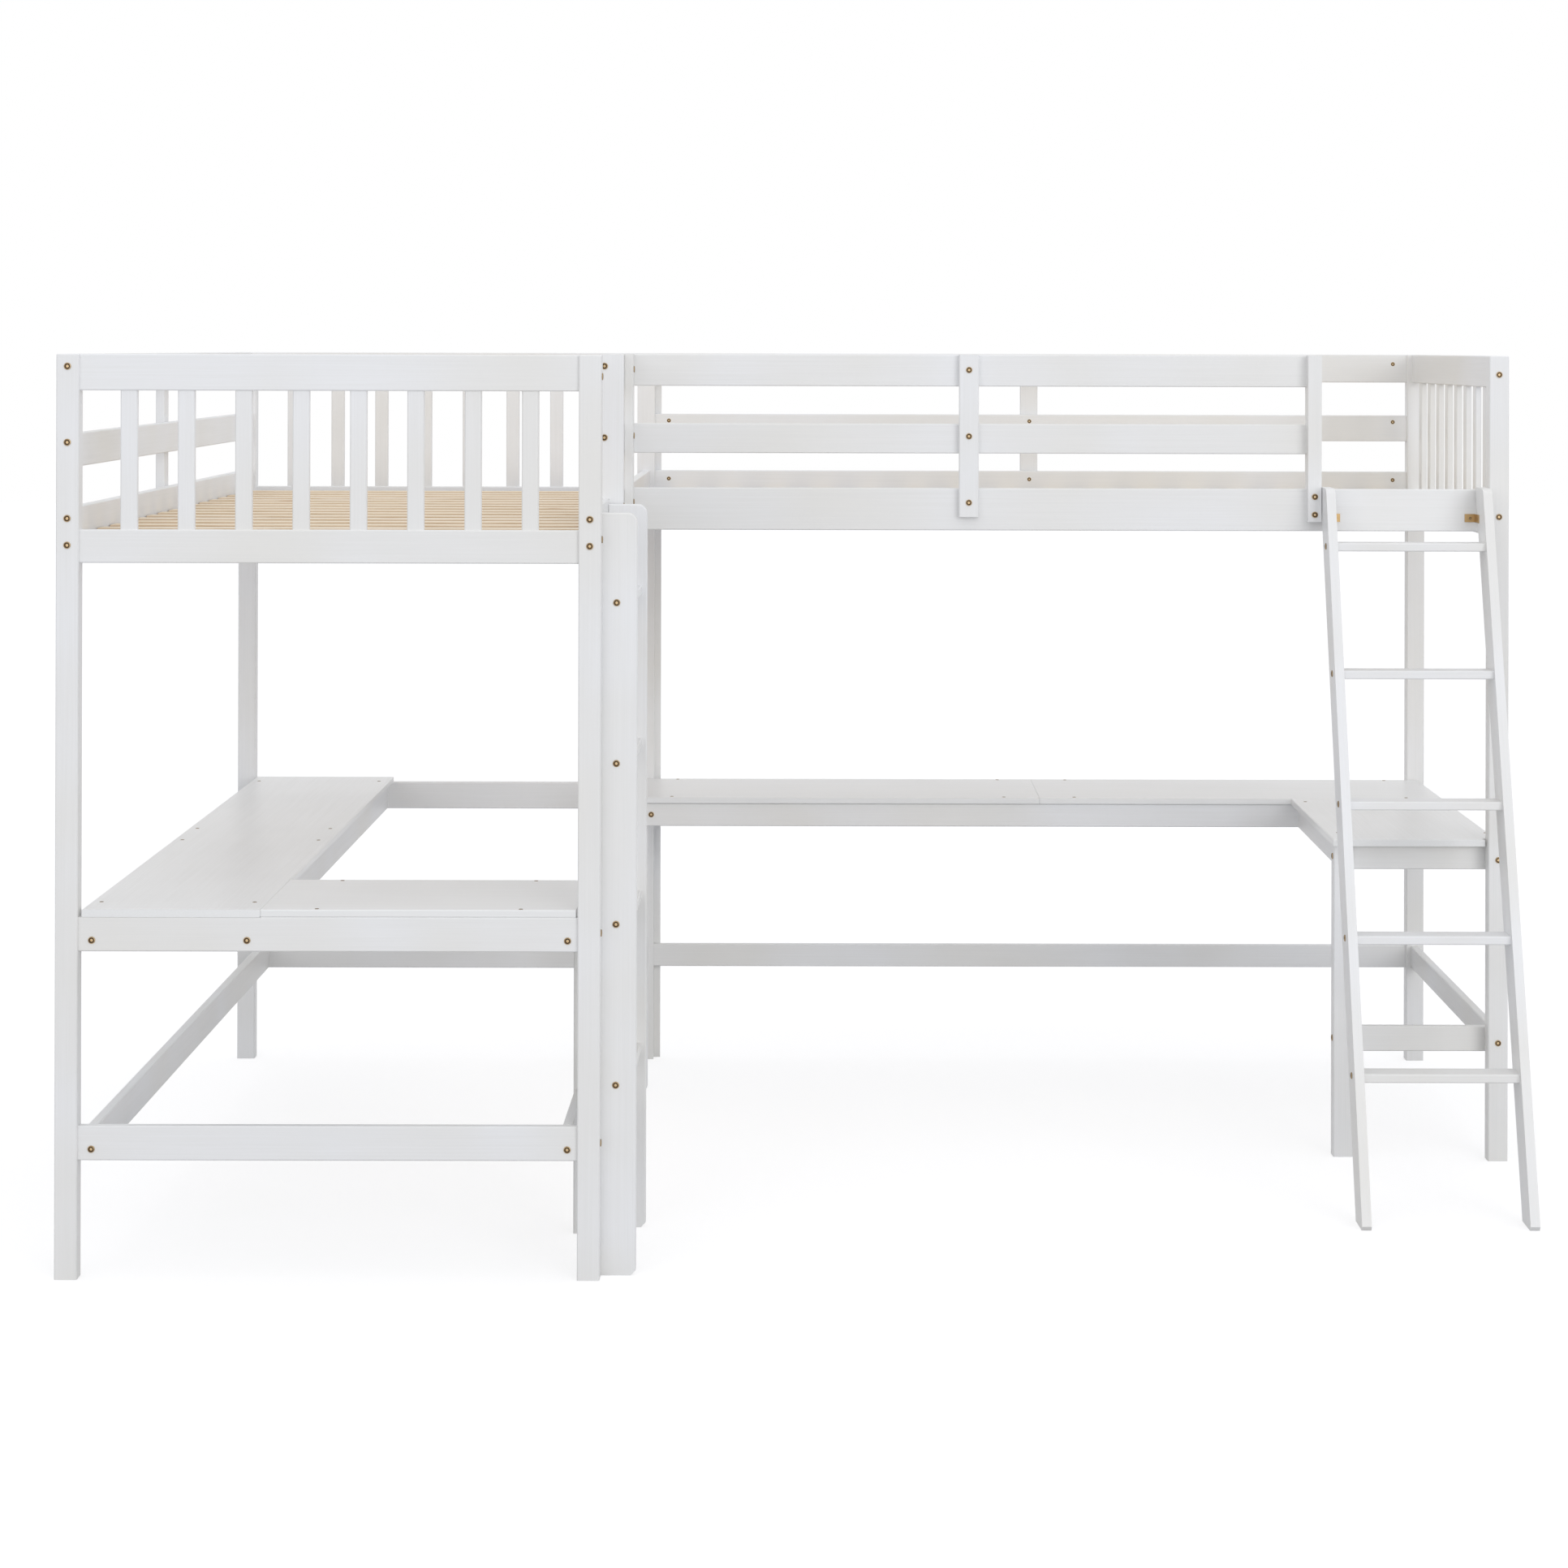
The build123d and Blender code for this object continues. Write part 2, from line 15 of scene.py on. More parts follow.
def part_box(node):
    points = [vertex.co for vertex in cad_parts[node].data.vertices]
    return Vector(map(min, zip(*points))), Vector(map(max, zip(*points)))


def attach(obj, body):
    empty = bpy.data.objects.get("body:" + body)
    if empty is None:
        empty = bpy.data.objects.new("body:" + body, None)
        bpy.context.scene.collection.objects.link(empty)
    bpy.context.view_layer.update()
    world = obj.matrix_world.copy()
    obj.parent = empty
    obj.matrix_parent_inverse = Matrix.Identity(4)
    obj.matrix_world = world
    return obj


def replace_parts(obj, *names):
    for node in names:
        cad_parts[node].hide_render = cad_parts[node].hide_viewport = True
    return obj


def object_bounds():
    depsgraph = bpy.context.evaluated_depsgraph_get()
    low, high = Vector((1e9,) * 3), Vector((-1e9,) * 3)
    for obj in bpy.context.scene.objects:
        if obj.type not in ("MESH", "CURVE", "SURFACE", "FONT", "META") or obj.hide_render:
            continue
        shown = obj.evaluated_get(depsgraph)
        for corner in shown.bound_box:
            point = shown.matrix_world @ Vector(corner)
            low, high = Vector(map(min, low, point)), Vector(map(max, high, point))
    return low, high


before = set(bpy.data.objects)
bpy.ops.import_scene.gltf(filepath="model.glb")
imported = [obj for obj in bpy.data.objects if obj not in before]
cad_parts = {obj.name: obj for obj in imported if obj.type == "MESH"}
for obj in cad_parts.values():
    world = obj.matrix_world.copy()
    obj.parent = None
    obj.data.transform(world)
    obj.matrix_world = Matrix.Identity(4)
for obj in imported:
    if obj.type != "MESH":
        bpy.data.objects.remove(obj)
cad_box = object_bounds()
MM = 0.001
ROOT = "root"
print("nodes:", len(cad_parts))

# %% [markdown]
# Colours are picked as hex values, the way a paint card gives them. A shader works with linear
# light, so one function turns the one into the other. A second small function adds a node: its
# inputs are either plain values or the outputs of other nodes, which keeps each material short.

# %% Colour and node helpers
def linear(hex_colour, alpha=1.0):
    """Linear RGBA of an sRGB hex colour: ((c + 0.055) / 1.055) ** 2.4 above 0.04045."""
    digits = hex_colour.lstrip("#")
    srgb = np.array([int(digits[i:i + 2], 16) for i in (0, 2, 4)]) / 255
    low, high = srgb / 12.92, ((srgb + 0.055) / 1.055) ** 2.4
    return (*np.where(srgb <= 0.04045, low, high).tolist(), alpha)


def add(tree, kind, props=None, inputs=None):
    """Add a node, set its properties, and fill or link its inputs."""
    node = tree.nodes.new(kind)
    for name, value in (props or {}).items():
        setattr(node, name, value)
    for name, value in (inputs or {}).items():
        if isinstance(value, bpy.types.NodeSocket):
            tree.links.new(value, node.inputs[name])
        else:
            node.inputs[name].default_value = value
    return node


def new_material(name):
    """An empty node material, with its tree."""
    material = bpy.data.materials.new(name)
    material.use_nodes = True
    material.node_tree.nodes.clear()
    return material, material.node_tree


def finish_material(tree, inputs):
    """Close a material with one Principled shader that has these inputs."""
    shader = add(tree, "ShaderNodeBsdfPrincipled", inputs=inputs)
    add(tree, "ShaderNodeOutputMaterial", inputs={"Surface": shader.outputs[0]})


def blend_colours(tree, factor, first, second):
    """The output of a colour mix, from first at 0 to second at 1."""
    mix = add(tree, "ShaderNodeMix", {"data_type": "RGBA"}, {0: factor, 6: first, 7: second})
    return mix.outputs[2]


def stretched(tree, along, grain_m, across_m, lean=0.0, offset=None):
    """Object coordinates scaled so that one unit is grain_m along the board and across_m across it."""
    place = add(tree, "ShaderNodeTexCoord").outputs["Object"]
    if offset is not None:
        place = add(tree, "ShaderNodeVectorMath", {"operation": "ADD"}, {0: place, 1: offset}).outputs[0]
    if lean:
        turn = add(tree, "ShaderNodeMapping", inputs={"Vector": place, "Rotation": (lean, 0, 0)})
        place = turn.outputs[0]
    scale = [1 / across_m] * 3
    scale["XYZ".index(along)] = 1 / grain_m
    return add(tree, "ShaderNodeMapping", inputs={"Vector": place, "Scale": scale}).outputs[0]


# %% [markdown]
# The bed is solid pine under two coats of satin white paint. Sprayed paint is even in colour, so
# what gives it away as wood is its relief: the grain shows through as long shallow ridges that
# run with the board. The same material is made once for each direction that a board runs in.

# %% Satin white paint over pine
GRAIN_LENGTH = 260 * MM
GRAIN_WIDTH = 3.5 * MM
PAINT_PEEL = 1.2 * MM
CLOUD = 420 * MM
PAINT_IOR = 1.47
PEEL_DEPTH = 0.1 * MM
RIDGE_DEPTH = 0.35 * MM
GLOSS_SPREAD = 0.07


def painted_pine(name, along, light="#EEEFF1", warm="#E9E8E5", rough=0.42, relief=0.35, lean=0.0):
    """Satin acrylic paint: a faint cloud of tone, grain ridges along the board and a fine peel."""
    material, tree = new_material(name)
    plain = add(tree, "ShaderNodeTexCoord").outputs["Object"]
    grain = add(tree, "ShaderNodeTexNoise", inputs={
        "Vector": stretched(tree, along, GRAIN_LENGTH, GRAIN_WIDTH, lean), "Scale": 1.0,
        "Detail": 5.0, "Roughness": 0.6})
    peel = add(tree, "ShaderNodeTexNoise", inputs={
        "Vector": plain, "Scale": 1 / PAINT_PEEL, "Detail": 1.0})
    cloud = add(tree, "ShaderNodeTexNoise", inputs={
        "Vector": plain, "Scale": 1 / CLOUD, "Detail": 2.0})
    factor = add(tree, "ShaderNodeMapRange", inputs={
        "Value": cloud.outputs[0], "From Min": 0.35, "From Max": 0.65})
    streak = add(tree, "ShaderNodeMapRange", inputs={
        "Value": grain.outputs[0], "From Min": 0.3, "From Max": 0.75, "To Min": 0.0, "To Max": 0.3})
    tone = blend_colours(tree, factor.outputs[0], linear(light), linear(warm))
    colour = blend_colours(tree, streak.outputs[0], tone, linear("#DFDFDD"))
    gloss = add(tree, "ShaderNodeMapRange", inputs={
        "Value": grain.outputs[0], "To Min": rough - GLOSS_SPREAD, "To Max": rough + GLOSS_SPREAD})
    fine = add(tree, "ShaderNodeBump", inputs={
        "Height": peel.outputs[0], "Strength": 0.08, "Distance": PEEL_DEPTH})
    ridges = add(tree, "ShaderNodeBump", inputs={
        "Height": grain.outputs[0], "Strength": relief, "Distance": RIDGE_DEPTH,
        "Normal": fine.outputs[0]})
    finish_material(tree, {"Base Color": colour, "Roughness": gloss.outputs[0], "IOR": PAINT_IOR,
                           "Normal": ridges.outputs[0]})
    return material


def repaint(node_name, material):
    """Give a CAD node a finish in its object's own material slot."""
    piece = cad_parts[node_name]
    if not piece.material_slots:
        piece.data.materials.append(material)
    for material_slot in piece.material_slots:
        material_slot.material = material


# %% [markdown]
# Each node's grain follows its boards. For a single board that is its longest side. A group such
# as the slats or the balusters is wider than its boards are long, so the groups are named here.

# %% Paint every node
GROUPS = {
    "Z": ("a_front_balusters", "a_back_balusters", "b_end_balusters", "guard_braces",
          "ladder_a_stiles", "newel_a", "newel_b"),
    "Y": ("ladder_a_rungs", "low_rails_a_along", "slat_ledgers_a"),
    "X": ("ladder_b_rungs", "low_rails_a_across", "low_rails_b_across", "slat_ledgers_b"),
}
TOPS = ("desk_a_long_top", "desk_a_return_top", "desk_b_long_top", "desk_b_return_top")
paint = {along: painted_pine(f"satin_white_paint_along_{along.lower()}", along) for along in "XYZ"}
lacquer = {along: painted_pine(f"white_lacquered_desktop_{along.lower()}", along, "#F0F1F1", "#ECEDED",
                               rough=0.34, relief=0.12) for along in "XY"}
grain_of = {name: along for along, names in GROUPS.items() for name in names}
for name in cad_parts:
    low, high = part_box(name)
    along = grain_of.get(name, "XYZ"[int(np.argmax(np.array(high) - np.array(low)))])
    repaint(name, lacquer[along] if name in TOPS else paint[along])
print("painted nodes:", len(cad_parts))

# %% [markdown]
# The second ladder leans, and the grain of its side boards leans with it. Its slope is read from
# the rungs: how far the top one is set back from the lowest, over the height between them.

# %% Leaning side boards
RUNG_DEPTH = 60 * MM
RUNG_THICKNESS = 18 * MM
rung_low, rung_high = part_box("ladder_b_rungs")
slope = (rung_high.y - rung_low.y - RUNG_DEPTH) / (rung_high.z - rung_low.z - RUNG_THICKNESS)
repaint("ladder_b_stiles", painted_pine("satin_white_paint_leaning", "Z", lean=math.atan(slope)))
print("ladder lean in degrees:", round(math.degrees(math.atan(slope)), 1))

# %% [markdown]
# The bed slats are bare pine, planed and sanded. Pine cut along the log shows its growth rings as
# long nested lines. Contour lines of a stretched noise look just like that, and a ping-pong of
# the noise draws them. Every slat comes from another plank, so each one shifts the pattern by a
# random amount found from its own number in the row.

# %% Bare pine slats
RING_LENGTH = 700 * MM
RING_WIDTH = 26 * MM
FIBRE_LENGTH = 40 * MM
FIBRE_WIDTH = 1.1 * MM
KNOT_SPACING = 260 * MM
KNOT_WIDTH = KNOT_SPACING * 0.45
RING_LINES = 9.0                    # contour lines drawn for one unit of the noise
FIBRE_DEPTH = 0.2 * MM
WOOD_IOR = 1.5
SLAT_COUNT = 16
SLAT_MARGIN = 29 * MM               # half the gap between two slats


def bare_pine(name, along, across, row_low, row_high):
    """Pale planed pine, with painted shade on its sides: rings, fibres and a few knots, shifted by slat."""
    material, tree = new_material(name)
    plain = add(tree, "ShaderNodeTexCoord").outputs["Object"]
    parts = add(tree, "ShaderNodeSeparateXYZ", inputs={0: plain})
    pitch = (row_high - row_low) / SLAT_COUNT
    start = add(tree, "ShaderNodeMath", {"operation": "SUBTRACT"}, {0: parts.outputs[across], 1: row_low})
    step = add(tree, "ShaderNodeMath", {"operation": "DIVIDE"}, {0: start.outputs[0], 1: pitch})
    number = add(tree, "ShaderNodeMath", {"operation": "FLOOR"}, {0: step.outputs[0]})
    plank = add(tree, "ShaderNodeTexWhiteNoise", {"noise_dimensions": "1D"}, {"W": number.outputs[0]})
    shift = plank.outputs["Color"]
    rings = add(tree, "ShaderNodeTexNoise", inputs={
        "Vector": stretched(tree, along, RING_LENGTH, RING_WIDTH, offset=shift),
        "Scale": 1.0, "Detail": 1.5})
    many = add(tree, "ShaderNodeMath", {"operation": "MULTIPLY"}, {0: rings.outputs[0], 1: RING_LINES})
    lines = add(tree, "ShaderNodeMath", {"operation": "PINGPONG"}, {0: many.outputs[0], 1: 0.5})
    late = add(tree, "ShaderNodeMapRange", inputs={
        "Value": lines.outputs[0], "From Min": 0.12, "From Max": 0.5, "To Max": 0.75})
    fibre = add(tree, "ShaderNodeTexNoise", inputs={
        "Vector": stretched(tree, along, FIBRE_LENGTH, FIBRE_WIDTH, offset=shift),
        "Scale": 1.0, "Detail": 3.0})
    knots = add(tree, "ShaderNodeTexVoronoi", inputs={
        "Vector": stretched(tree, along, KNOT_SPACING, KNOT_WIDTH, offset=shift), "Scale": 1.0})
    knot = add(tree, "ShaderNodeMapRange", inputs={
        "Value": knots.outputs["Distance"], "From Min": 0.03, "From Max": 0.11, "To Min": 0.8, "To Max": 0.0})
    wood = blend_colours(tree, late.outputs[0], linear("#F6EBDA"), linear("#E2CBA2"))
    board = blend_colours(tree, plank.outputs["Value"], wood, linear("#F0DFC4"))
    grained = blend_colours(tree, late.outputs[0], board, wood)
    planed = blend_colours(tree, knot.outputs[0], grained, linear("#A9713C"))
    # Painted shade: faces that don't look straight up, the slats' sides and undersides, get a darker brown.
    facing = add(tree, "ShaderNodeSeparateXYZ", inputs={
        0: add(tree, "ShaderNodeNewGeometry").outputs["Normal"]})
    painted_side_shade = add(tree, "ShaderNodeMapRange", inputs={
        "Value": facing.outputs["Z"], "From Min": 0.5, "From Max": 0.95, "To Min": 1.0, "To Max": 0.0})
    side_shade_colour = blend_colours(tree, late.outputs[0], linear("#D3B695"), linear("#B8946D"))
    colour = blend_colours(tree, painted_side_shade.outputs[0], planed, side_shade_colour)
    relief = add(tree, "ShaderNodeBump", inputs={
        "Height": fibre.outputs[0], "Strength": 0.3, "Distance": FIBRE_DEPTH})
    gloss = add(tree, "ShaderNodeMapRange", inputs={
        "Value": fibre.outputs[0], "To Min": 0.5, "To Max": 0.72})
    finish_material(tree, {"Base Color": colour, "Roughness": gloss.outputs[0], "IOR": WOOD_IOR,
                           "Normal": relief.outputs[0]})
    return material


for name, along, across in (("slats_a", "X", "Y"), ("slats_b", "Y", "X")):
    low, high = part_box(name)
    axis = "XYZ".index(across)
    repaint(name, bare_pine(f"bare_planed_pine_{name[-1]}", along, across,
                            low[axis] - SLAT_MARGIN, high[axis] + SLAT_MARGIN))
    print("bare pine:", name)

# %% [markdown]
# The hardware is steel with an antique brass plating: dark on the face, with a painted highlight on
# the shoulder for the pale ring of light that its curve catches, and bright at the bottom of the
# socket, where the key turns. Each head carries a value for both on its points, and the shader
# mixes the two colours by it. The angle brackets are plated in yellow zinc. They carry no such
# value, so only the patina varies them.

# %% Metals
PATINA_SHARE = 0.5


def aged_metal(name, dark, bright, rough, patina_size):
    """A plated metal, dark where the painted highlight and wear value is 0 and bright at 1, mottled by a
    patina.
    """
    material, tree = new_material(name)
    plain = add(tree, "ShaderNodeTexCoord").outputs["Object"]
    highlight_and_wear_share = add(tree, "ShaderNodeAttribute", {"attribute_name": "highlight_and_wear"}).outputs["Fac"]
    patina = add(tree, "ShaderNodeTexNoise", inputs={
        "Vector": plain, "Scale": 1 / patina_size, "Detail": 4.0})
    spots = add(tree, "ShaderNodeMath", {"operation": "MULTIPLY_ADD"}, {
        0: patina.outputs[0], 1: PATINA_SHARE, 2: highlight_and_wear_share})
    factor = add(tree, "ShaderNodeMapRange", inputs={
        "Value": spots.outputs[0], "From Min": 0.35, "From Max": 1.1})
    colour = blend_colours(tree, factor.outputs[0], linear(dark), linear(bright))
    gloss = add(tree, "ShaderNodeMapRange", inputs={
        "Value": patina.outputs[0], "To Min": rough - 0.1, "To Max": rough + 0.12})
    finish_material(tree, {"Base Color": colour, "Metallic": 1.0, "Roughness": gloss.outputs[0]})
    return material


antique_brass = aged_metal("antique_brass_plating", "#4A3D30", "#C7AE88", 0.42, 4 * MM)
yellow_zinc = aged_metal("yellow_zinc_plating", "#B2966C", "#CBB38B", 0.4, 9 * MM)
repaint("ladder_brackets", yellow_zinc)
print("metals:", antique_brass.name, yellow_zinc.name)

# %% [markdown]
# A socket bolt's head is a low button with a six-sided hole. It could be cut with a boolean, but
# one formula gives the whole skin. Rows run from the seat over the rim and down into the socket,
# columns run round the axis, and in the socket's rows the radius follows a hexagon.

# %% The surface of a socket head
COLUMNS = 24
# Each row is a radius and a height as shares of the head's own, whether it is a hexagon, and a
# brightness: a painted highlight on the shoulder, and wear at the bottom of the socket.
ROWS = np.array([
    (1.00, 0.00, 0, 0.2),
    (1.00, 0.52, 0, 0.6),
    (0.95, 0.80, 0, 0.8),
    (0.84, 0.97, 0, 0.5),
    (0.70, 1.00, 0, 0.0),
    (0.44, 1.00, 1, 0.0),
    (0.39, 0.88, 1, 0.1),
    (0.38, 0.20, 1, 0.9),
])


def socket_heads(name, places, ways, radius, height):
    """Many heads in one mesh.

    Row i, column j of a head lies at angle t = 2 pi j / columns, at radius r_i, or for a hexagon
    at r_i / cos((t mod 60) - 30 degrees), and at height h_i. Two poles close the seat and the
    socket's floor. Each head is turned by a matrix whose third column is the way it looks.
    """
    t = np.arange(COLUMNS) * 2 * np.pi / COLUMNS
    hexagon = 1 / np.cos(np.mod(t, np.pi / 3) - np.pi / 6)
    reach = ROWS[:, :1] * radius * np.where(ROWS[:, 2:3] > 0, hexagon[None, :], 1.0)
    skin = np.stack([reach * np.cos(t), reach * np.sin(t),
                     np.broadcast_to(ROWS[:, 1:2] * height, reach.shape)], -1).reshape(-1, 3)
    floor = ROWS[-1, 1] * height
    one = np.vstack([skin, [(0, 0, 0), (0, 0, floor)]])
    ways = np.asarray(ways, float)
    side = np.where(np.abs(ways[:, 2:3]) > 0.5, [[1.0, 0, 0]], [[0, 0, 1.0]])
    across = np.cross(side, ways)
    turns = np.stack([np.cross(across, ways) * -1, across, ways], -1)
    turns[:, :, 0] *= np.sign(np.linalg.det(turns))[:, None]
    points = np.einsum("nij,kj->nki", turns, one) + np.asarray(places)[:, None, :]
    rows = len(ROWS)
    i, j = np.meshgrid(np.arange(rows - 1), np.arange(COLUMNS), indexing="ij")
    k = (j + 1) % COLUMNS
    quads = np.stack([i * COLUMNS + j, i * COLUMNS + k, (i + 1) * COLUMNS + k,
                      (i + 1) * COLUMNS + j], -1).reshape(-1, 4)
    ring = np.arange(COLUMNS)
    after = (ring + 1) % COLUMNS
    last = (rows - 1) * COLUMNS
    seat = np.stack([after, ring, np.full(COLUMNS, rows * COLUMNS)], -1)
    pit = np.stack([last + ring, last + after, np.full(COLUMNS, rows * COLUMNS + 1)], -1)
    faces = []
    for n in range(len(points)):
        for block in (quads, seat, pit):
            faces += (block + n * len(one)).tolist()
    mesh = bpy.data.meshes.new(name)
    mesh.from_pydata(points.reshape(-1, 3).tolist(), [], faces)
    # Per point: the painted highlight on the shoulder rows and the wear at the bottom of the socket.
    highlight_and_wear = np.append(np.repeat(ROWS[:, 3], COLUMNS), [0.0, 1.0])
    layer = mesh.attributes.new("highlight_and_wear", "FLOAT", "POINT")
    layer.data.foreach_set("value", np.tile(highlight_and_wear, len(points)).astype(np.float32))
    mesh.materials.append(antique_brass)
    piece = bpy.data.objects.new(name, mesh)
    bpy.context.scene.collection.objects.link(piece)
    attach(piece, ROOT)
    print(name, len(points), "heads,", len(faces), "faces")
    return piece


# %% [markdown]
# The frame already says where every bolt sits: its plain heads are one node. Vertices less than
# about a head's width apart belong together, the thinnest side of such a group is the bolt's
# axis, and a ray along that axis finds the wood, so the head looks the other way.

# %% Find the bolts in the frame
BOLT_REACH = 17 * MM                # more than a head's width, less than the space between two
NO_WOOD = 10.0                      # metres, for a ray that meets nothing


def node_points(name):
    """All of a node's vertices, as an array."""
    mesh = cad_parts[name].data
    flat = np.zeros(len(mesh.vertices) * 3, np.float32)
    mesh.vertices.foreach_get("co", flat)
    return flat.reshape(-1, 3).astype(float)


def groups_of(points, reach):
    """Boxes of the clusters in which every point lies within reach of the cluster's first."""
    boxes = []
    while len(points):
        near = np.linalg.norm(points - points[0], axis=1) < reach
        boxes.append((points[near].min(0), points[near].max(0)))
        points = points[~near]
    return boxes


wood_points, wood_faces = [], []
for name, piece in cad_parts.items():
    if name in ("bolts", "ladder_brackets"):
        continue
    start = len(wood_points)
    wood_points += node_points(name).tolist()
    wood_faces += [[start + v for v in face.vertices] for face in piece.data.polygons]
wood = BVHTree.FromPolygons(wood_points, wood_faces)

bolt_places, bolt_ways = [], []
for low, high in groups_of(node_points("bolts"), BOLT_REACH):
    axis = int(np.argmin(high - low))
    middle = (low + high) / 2
    way = np.zeros(3)
    way[axis] = 1.0
    distances = []
    for sign in (-1, 1):
        hit = wood.ray_cast(Vector(middle), Vector(sign * way))
        distances.append(hit[3] if hit[3] is not None else NO_WOOD)
    way = way if distances[0] < distances[1] else -way
    bolt_places.append(middle - way * (high - low)[axis] / 2)
    bolt_ways.append(way)
bolt_radius = max(high - low) / 2
bolt_height = min(high - low)
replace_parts(socket_heads("bolt_heads", bolt_places, bolt_ways, bolt_radius, bolt_height), "bolts")

# %% [markdown]
# The desk tops are screwed down to their rails. The screw heads lie almost flush, over the middle
# of a rail and a hand's width from each board's end.

# %% Desk screws
SCREW_RADIUS = 4.4 * MM
SCREW_HEIGHT = 0.5 * MM
SCREW_IN = 86 * MM                  # from the ends of a long board's halves
RETURN_A_IN = 108 * MM              # from the ends of desk A's return board
BACK_EDGE_B = 13 * MM               # from the back edge of desk B's long board
RIGHT_EDGE_B = 8 * MM               # from the right edge of desk B's return board
RETURN_B_FRONT = 103 * MM
RETURN_B_BACK = 52 * MM


def middle_of(name, axis):
    """Middle of a node's box along one axis."""
    low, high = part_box(name)
    return (low[axis] + high[axis]) / 2


def ends(low, high, inset):
    """Two places, inset from the ends."""
    return [low + inset, high - inset]


screws = []
low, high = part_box("desk_a_long_top")
seam = (low.y + high.y) / 2
for x in (middle_of("desk_a_left_rail", 0), middle_of("desk_a_middle_rail", 0)):
    for y in ends(low.y, seam, SCREW_IN) + ends(seam, high.y, SCREW_IN):
        screws.append((x, y, high.z))
low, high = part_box("desk_a_return_top")
for x in ends(low.x, high.x, RETURN_A_IN):
    for y in (middle_of("desk_a_front_rail", 1), middle_of("desk_a_rear_rail", 1)):
        screws.append((x, y, high.z))
low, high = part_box("desk_b_long_top")
seam = (low.x + high.x) / 2
for x in ends(low.x, seam, SCREW_IN) + ends(seam, high.x, SCREW_IN):
    for y in (middle_of("desk_b_front_rail", 1), high.y - BACK_EDGE_B):
        screws.append((x, y, high.z))
low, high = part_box("desk_b_return_top")
for x in (middle_of("desk_b_inner_rail", 0), high.x - RIGHT_EDGE_B):
    for y in (low.y + RETURN_B_FRONT, high.y - RETURN_B_BACK):
        screws.append((x, y, high.z))
socket_heads("desk_screws", screws, [(0, 0, 1)] * len(screws), SCREW_RADIUS, SCREW_HEIGHT)

# %% [markdown]
# Each bolt that enters a rail's end is caught by a barrel nut, a short cross pin that shows as a
# small disc on the rail's inner face, about four centimetres from the joint. Bed B's back rails
# have one more behind their brace.

# %% Barrel nuts on the long rails
NUT_RADIUS = 5.2 * MM
NUT_HEIGHT = 0.4 * MM
NUT_IN = 36 * MM
LEFT_SIDE = 100 * MM                # bolts this near the left side give the nuts their heights
BRACE_IN = 500 * MM                 # a brace stands further in than this from a rail's ends
RAILS_B = ("guard_rails_b_back", "side_rail_b_back")
RAILS_A = ("guard_rails_a_left", "side_rail_a_left")
low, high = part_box("side_rail_b_back")
bolt_z = sorted({round(float(p[2]), 4) for p, w in zip(bolt_places, bolt_ways)
                 if w[1] < 0 and p[0] < cad_box[0][0] + LEFT_SIDE})
brace_x = next(p[0] for p, w in zip(bolt_places, bolt_ways)
               if w[1] > 0 and low.x + BRACE_IN < p[0] < high.x - BRACE_IN
               and p[1] > middle_of("desk_b_back_rail", 1))
nuts, nut_ways = [], []
for name in RAILS_B:
    low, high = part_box(name)
    for z in [z for z in bolt_z if low.z < z < high.z]:
        for x in ends(low.x, high.x, NUT_IN) + [brace_x]:
            nuts.append((x, low.y, z))
            nut_ways.append((0, -1, 0))
for name in RAILS_A:
    low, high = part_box(name)
    for z in [z for z in bolt_z if low.z < z < high.z]:
        for y in ends(low.y, high.y, NUT_IN):
            nuts.append((high.x, y, z))
            nut_ways.append((1, 0, 0))
socket_heads("barrel_nuts", nuts, nut_ways, NUT_RADIUS, NUT_HEIGHT)

# %% [markdown]
# Every angle bracket shows the small screw that holds it to the side rail. The brackets' boxes
# come from the frame, and the screw goes near the middle of the leg that lies on the rail.

# %% Bracket screws
BRACKET_SCREW_RADIUS = 3.2 * MM
BRACKET_SCREW_HEIGHT = 0.9 * MM
BRACKET_REACH = 60 * MM             # more than a bracket's size
PLATE = 2 * MM                      # a bracket's thickness
SCREW_SHIFT = 2 * PLATE             # towards the back, on ladder A's brackets
screws, screw_ways = [], []
rail_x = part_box("side_rail_a_right")[1].x
rail_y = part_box("side_rail_b_front")[0].y
for low, high in groups_of(node_points("ladder_brackets"), BRACKET_REACH):
    middle = (low + high) / 2
    if abs(low[0] - rail_x) < PLATE:
        on_rail, way = (rail_x + PLATE, middle[1] + SCREW_SHIFT, middle[2]), (1, 0, 0)
    else:
        on_rail, way = (middle[0], rail_y - PLATE, middle[2]), (0, -1, 0)
    screws.append(on_rail)
    screw_ways.append(way)
socket_heads("bracket_screws", screws, screw_ways, BRACKET_SCREW_RADIUS, BRACKET_SCREW_HEIGHT)

# %% [markdown]
# The bed stands in a plain white studio. The floor takes a soft shadow from the lamps, and a
# little light of its own for the camera lifts it to the backdrop's white. Glossy rays see the
# same white, so metal reflects the studio and not a dark void.

# %% Studio
FLOOR_SIZE = 60.0                   # metres
FLOOR_GLOW = 0.66
SOFT_STRENGTH = 0.86                # the studio's own light on the bed


def seen_rays(tree):
    """1 for camera, glossy and transmission rays, and 0 for light that falls on the bed."""
    path = add(tree, "ShaderNodeLightPath")
    pair = add(tree, "ShaderNodeMath", {"operation": "MAXIMUM"}, {
        0: path.outputs["Is Camera Ray"], 1: path.outputs["Is Glossy Ray"]})
    return add(tree, "ShaderNodeMath", {"operation": "MAXIMUM"}, {
        0: pair.outputs[0], 1: path.outputs["Is Transmission Ray"]}).outputs[0]


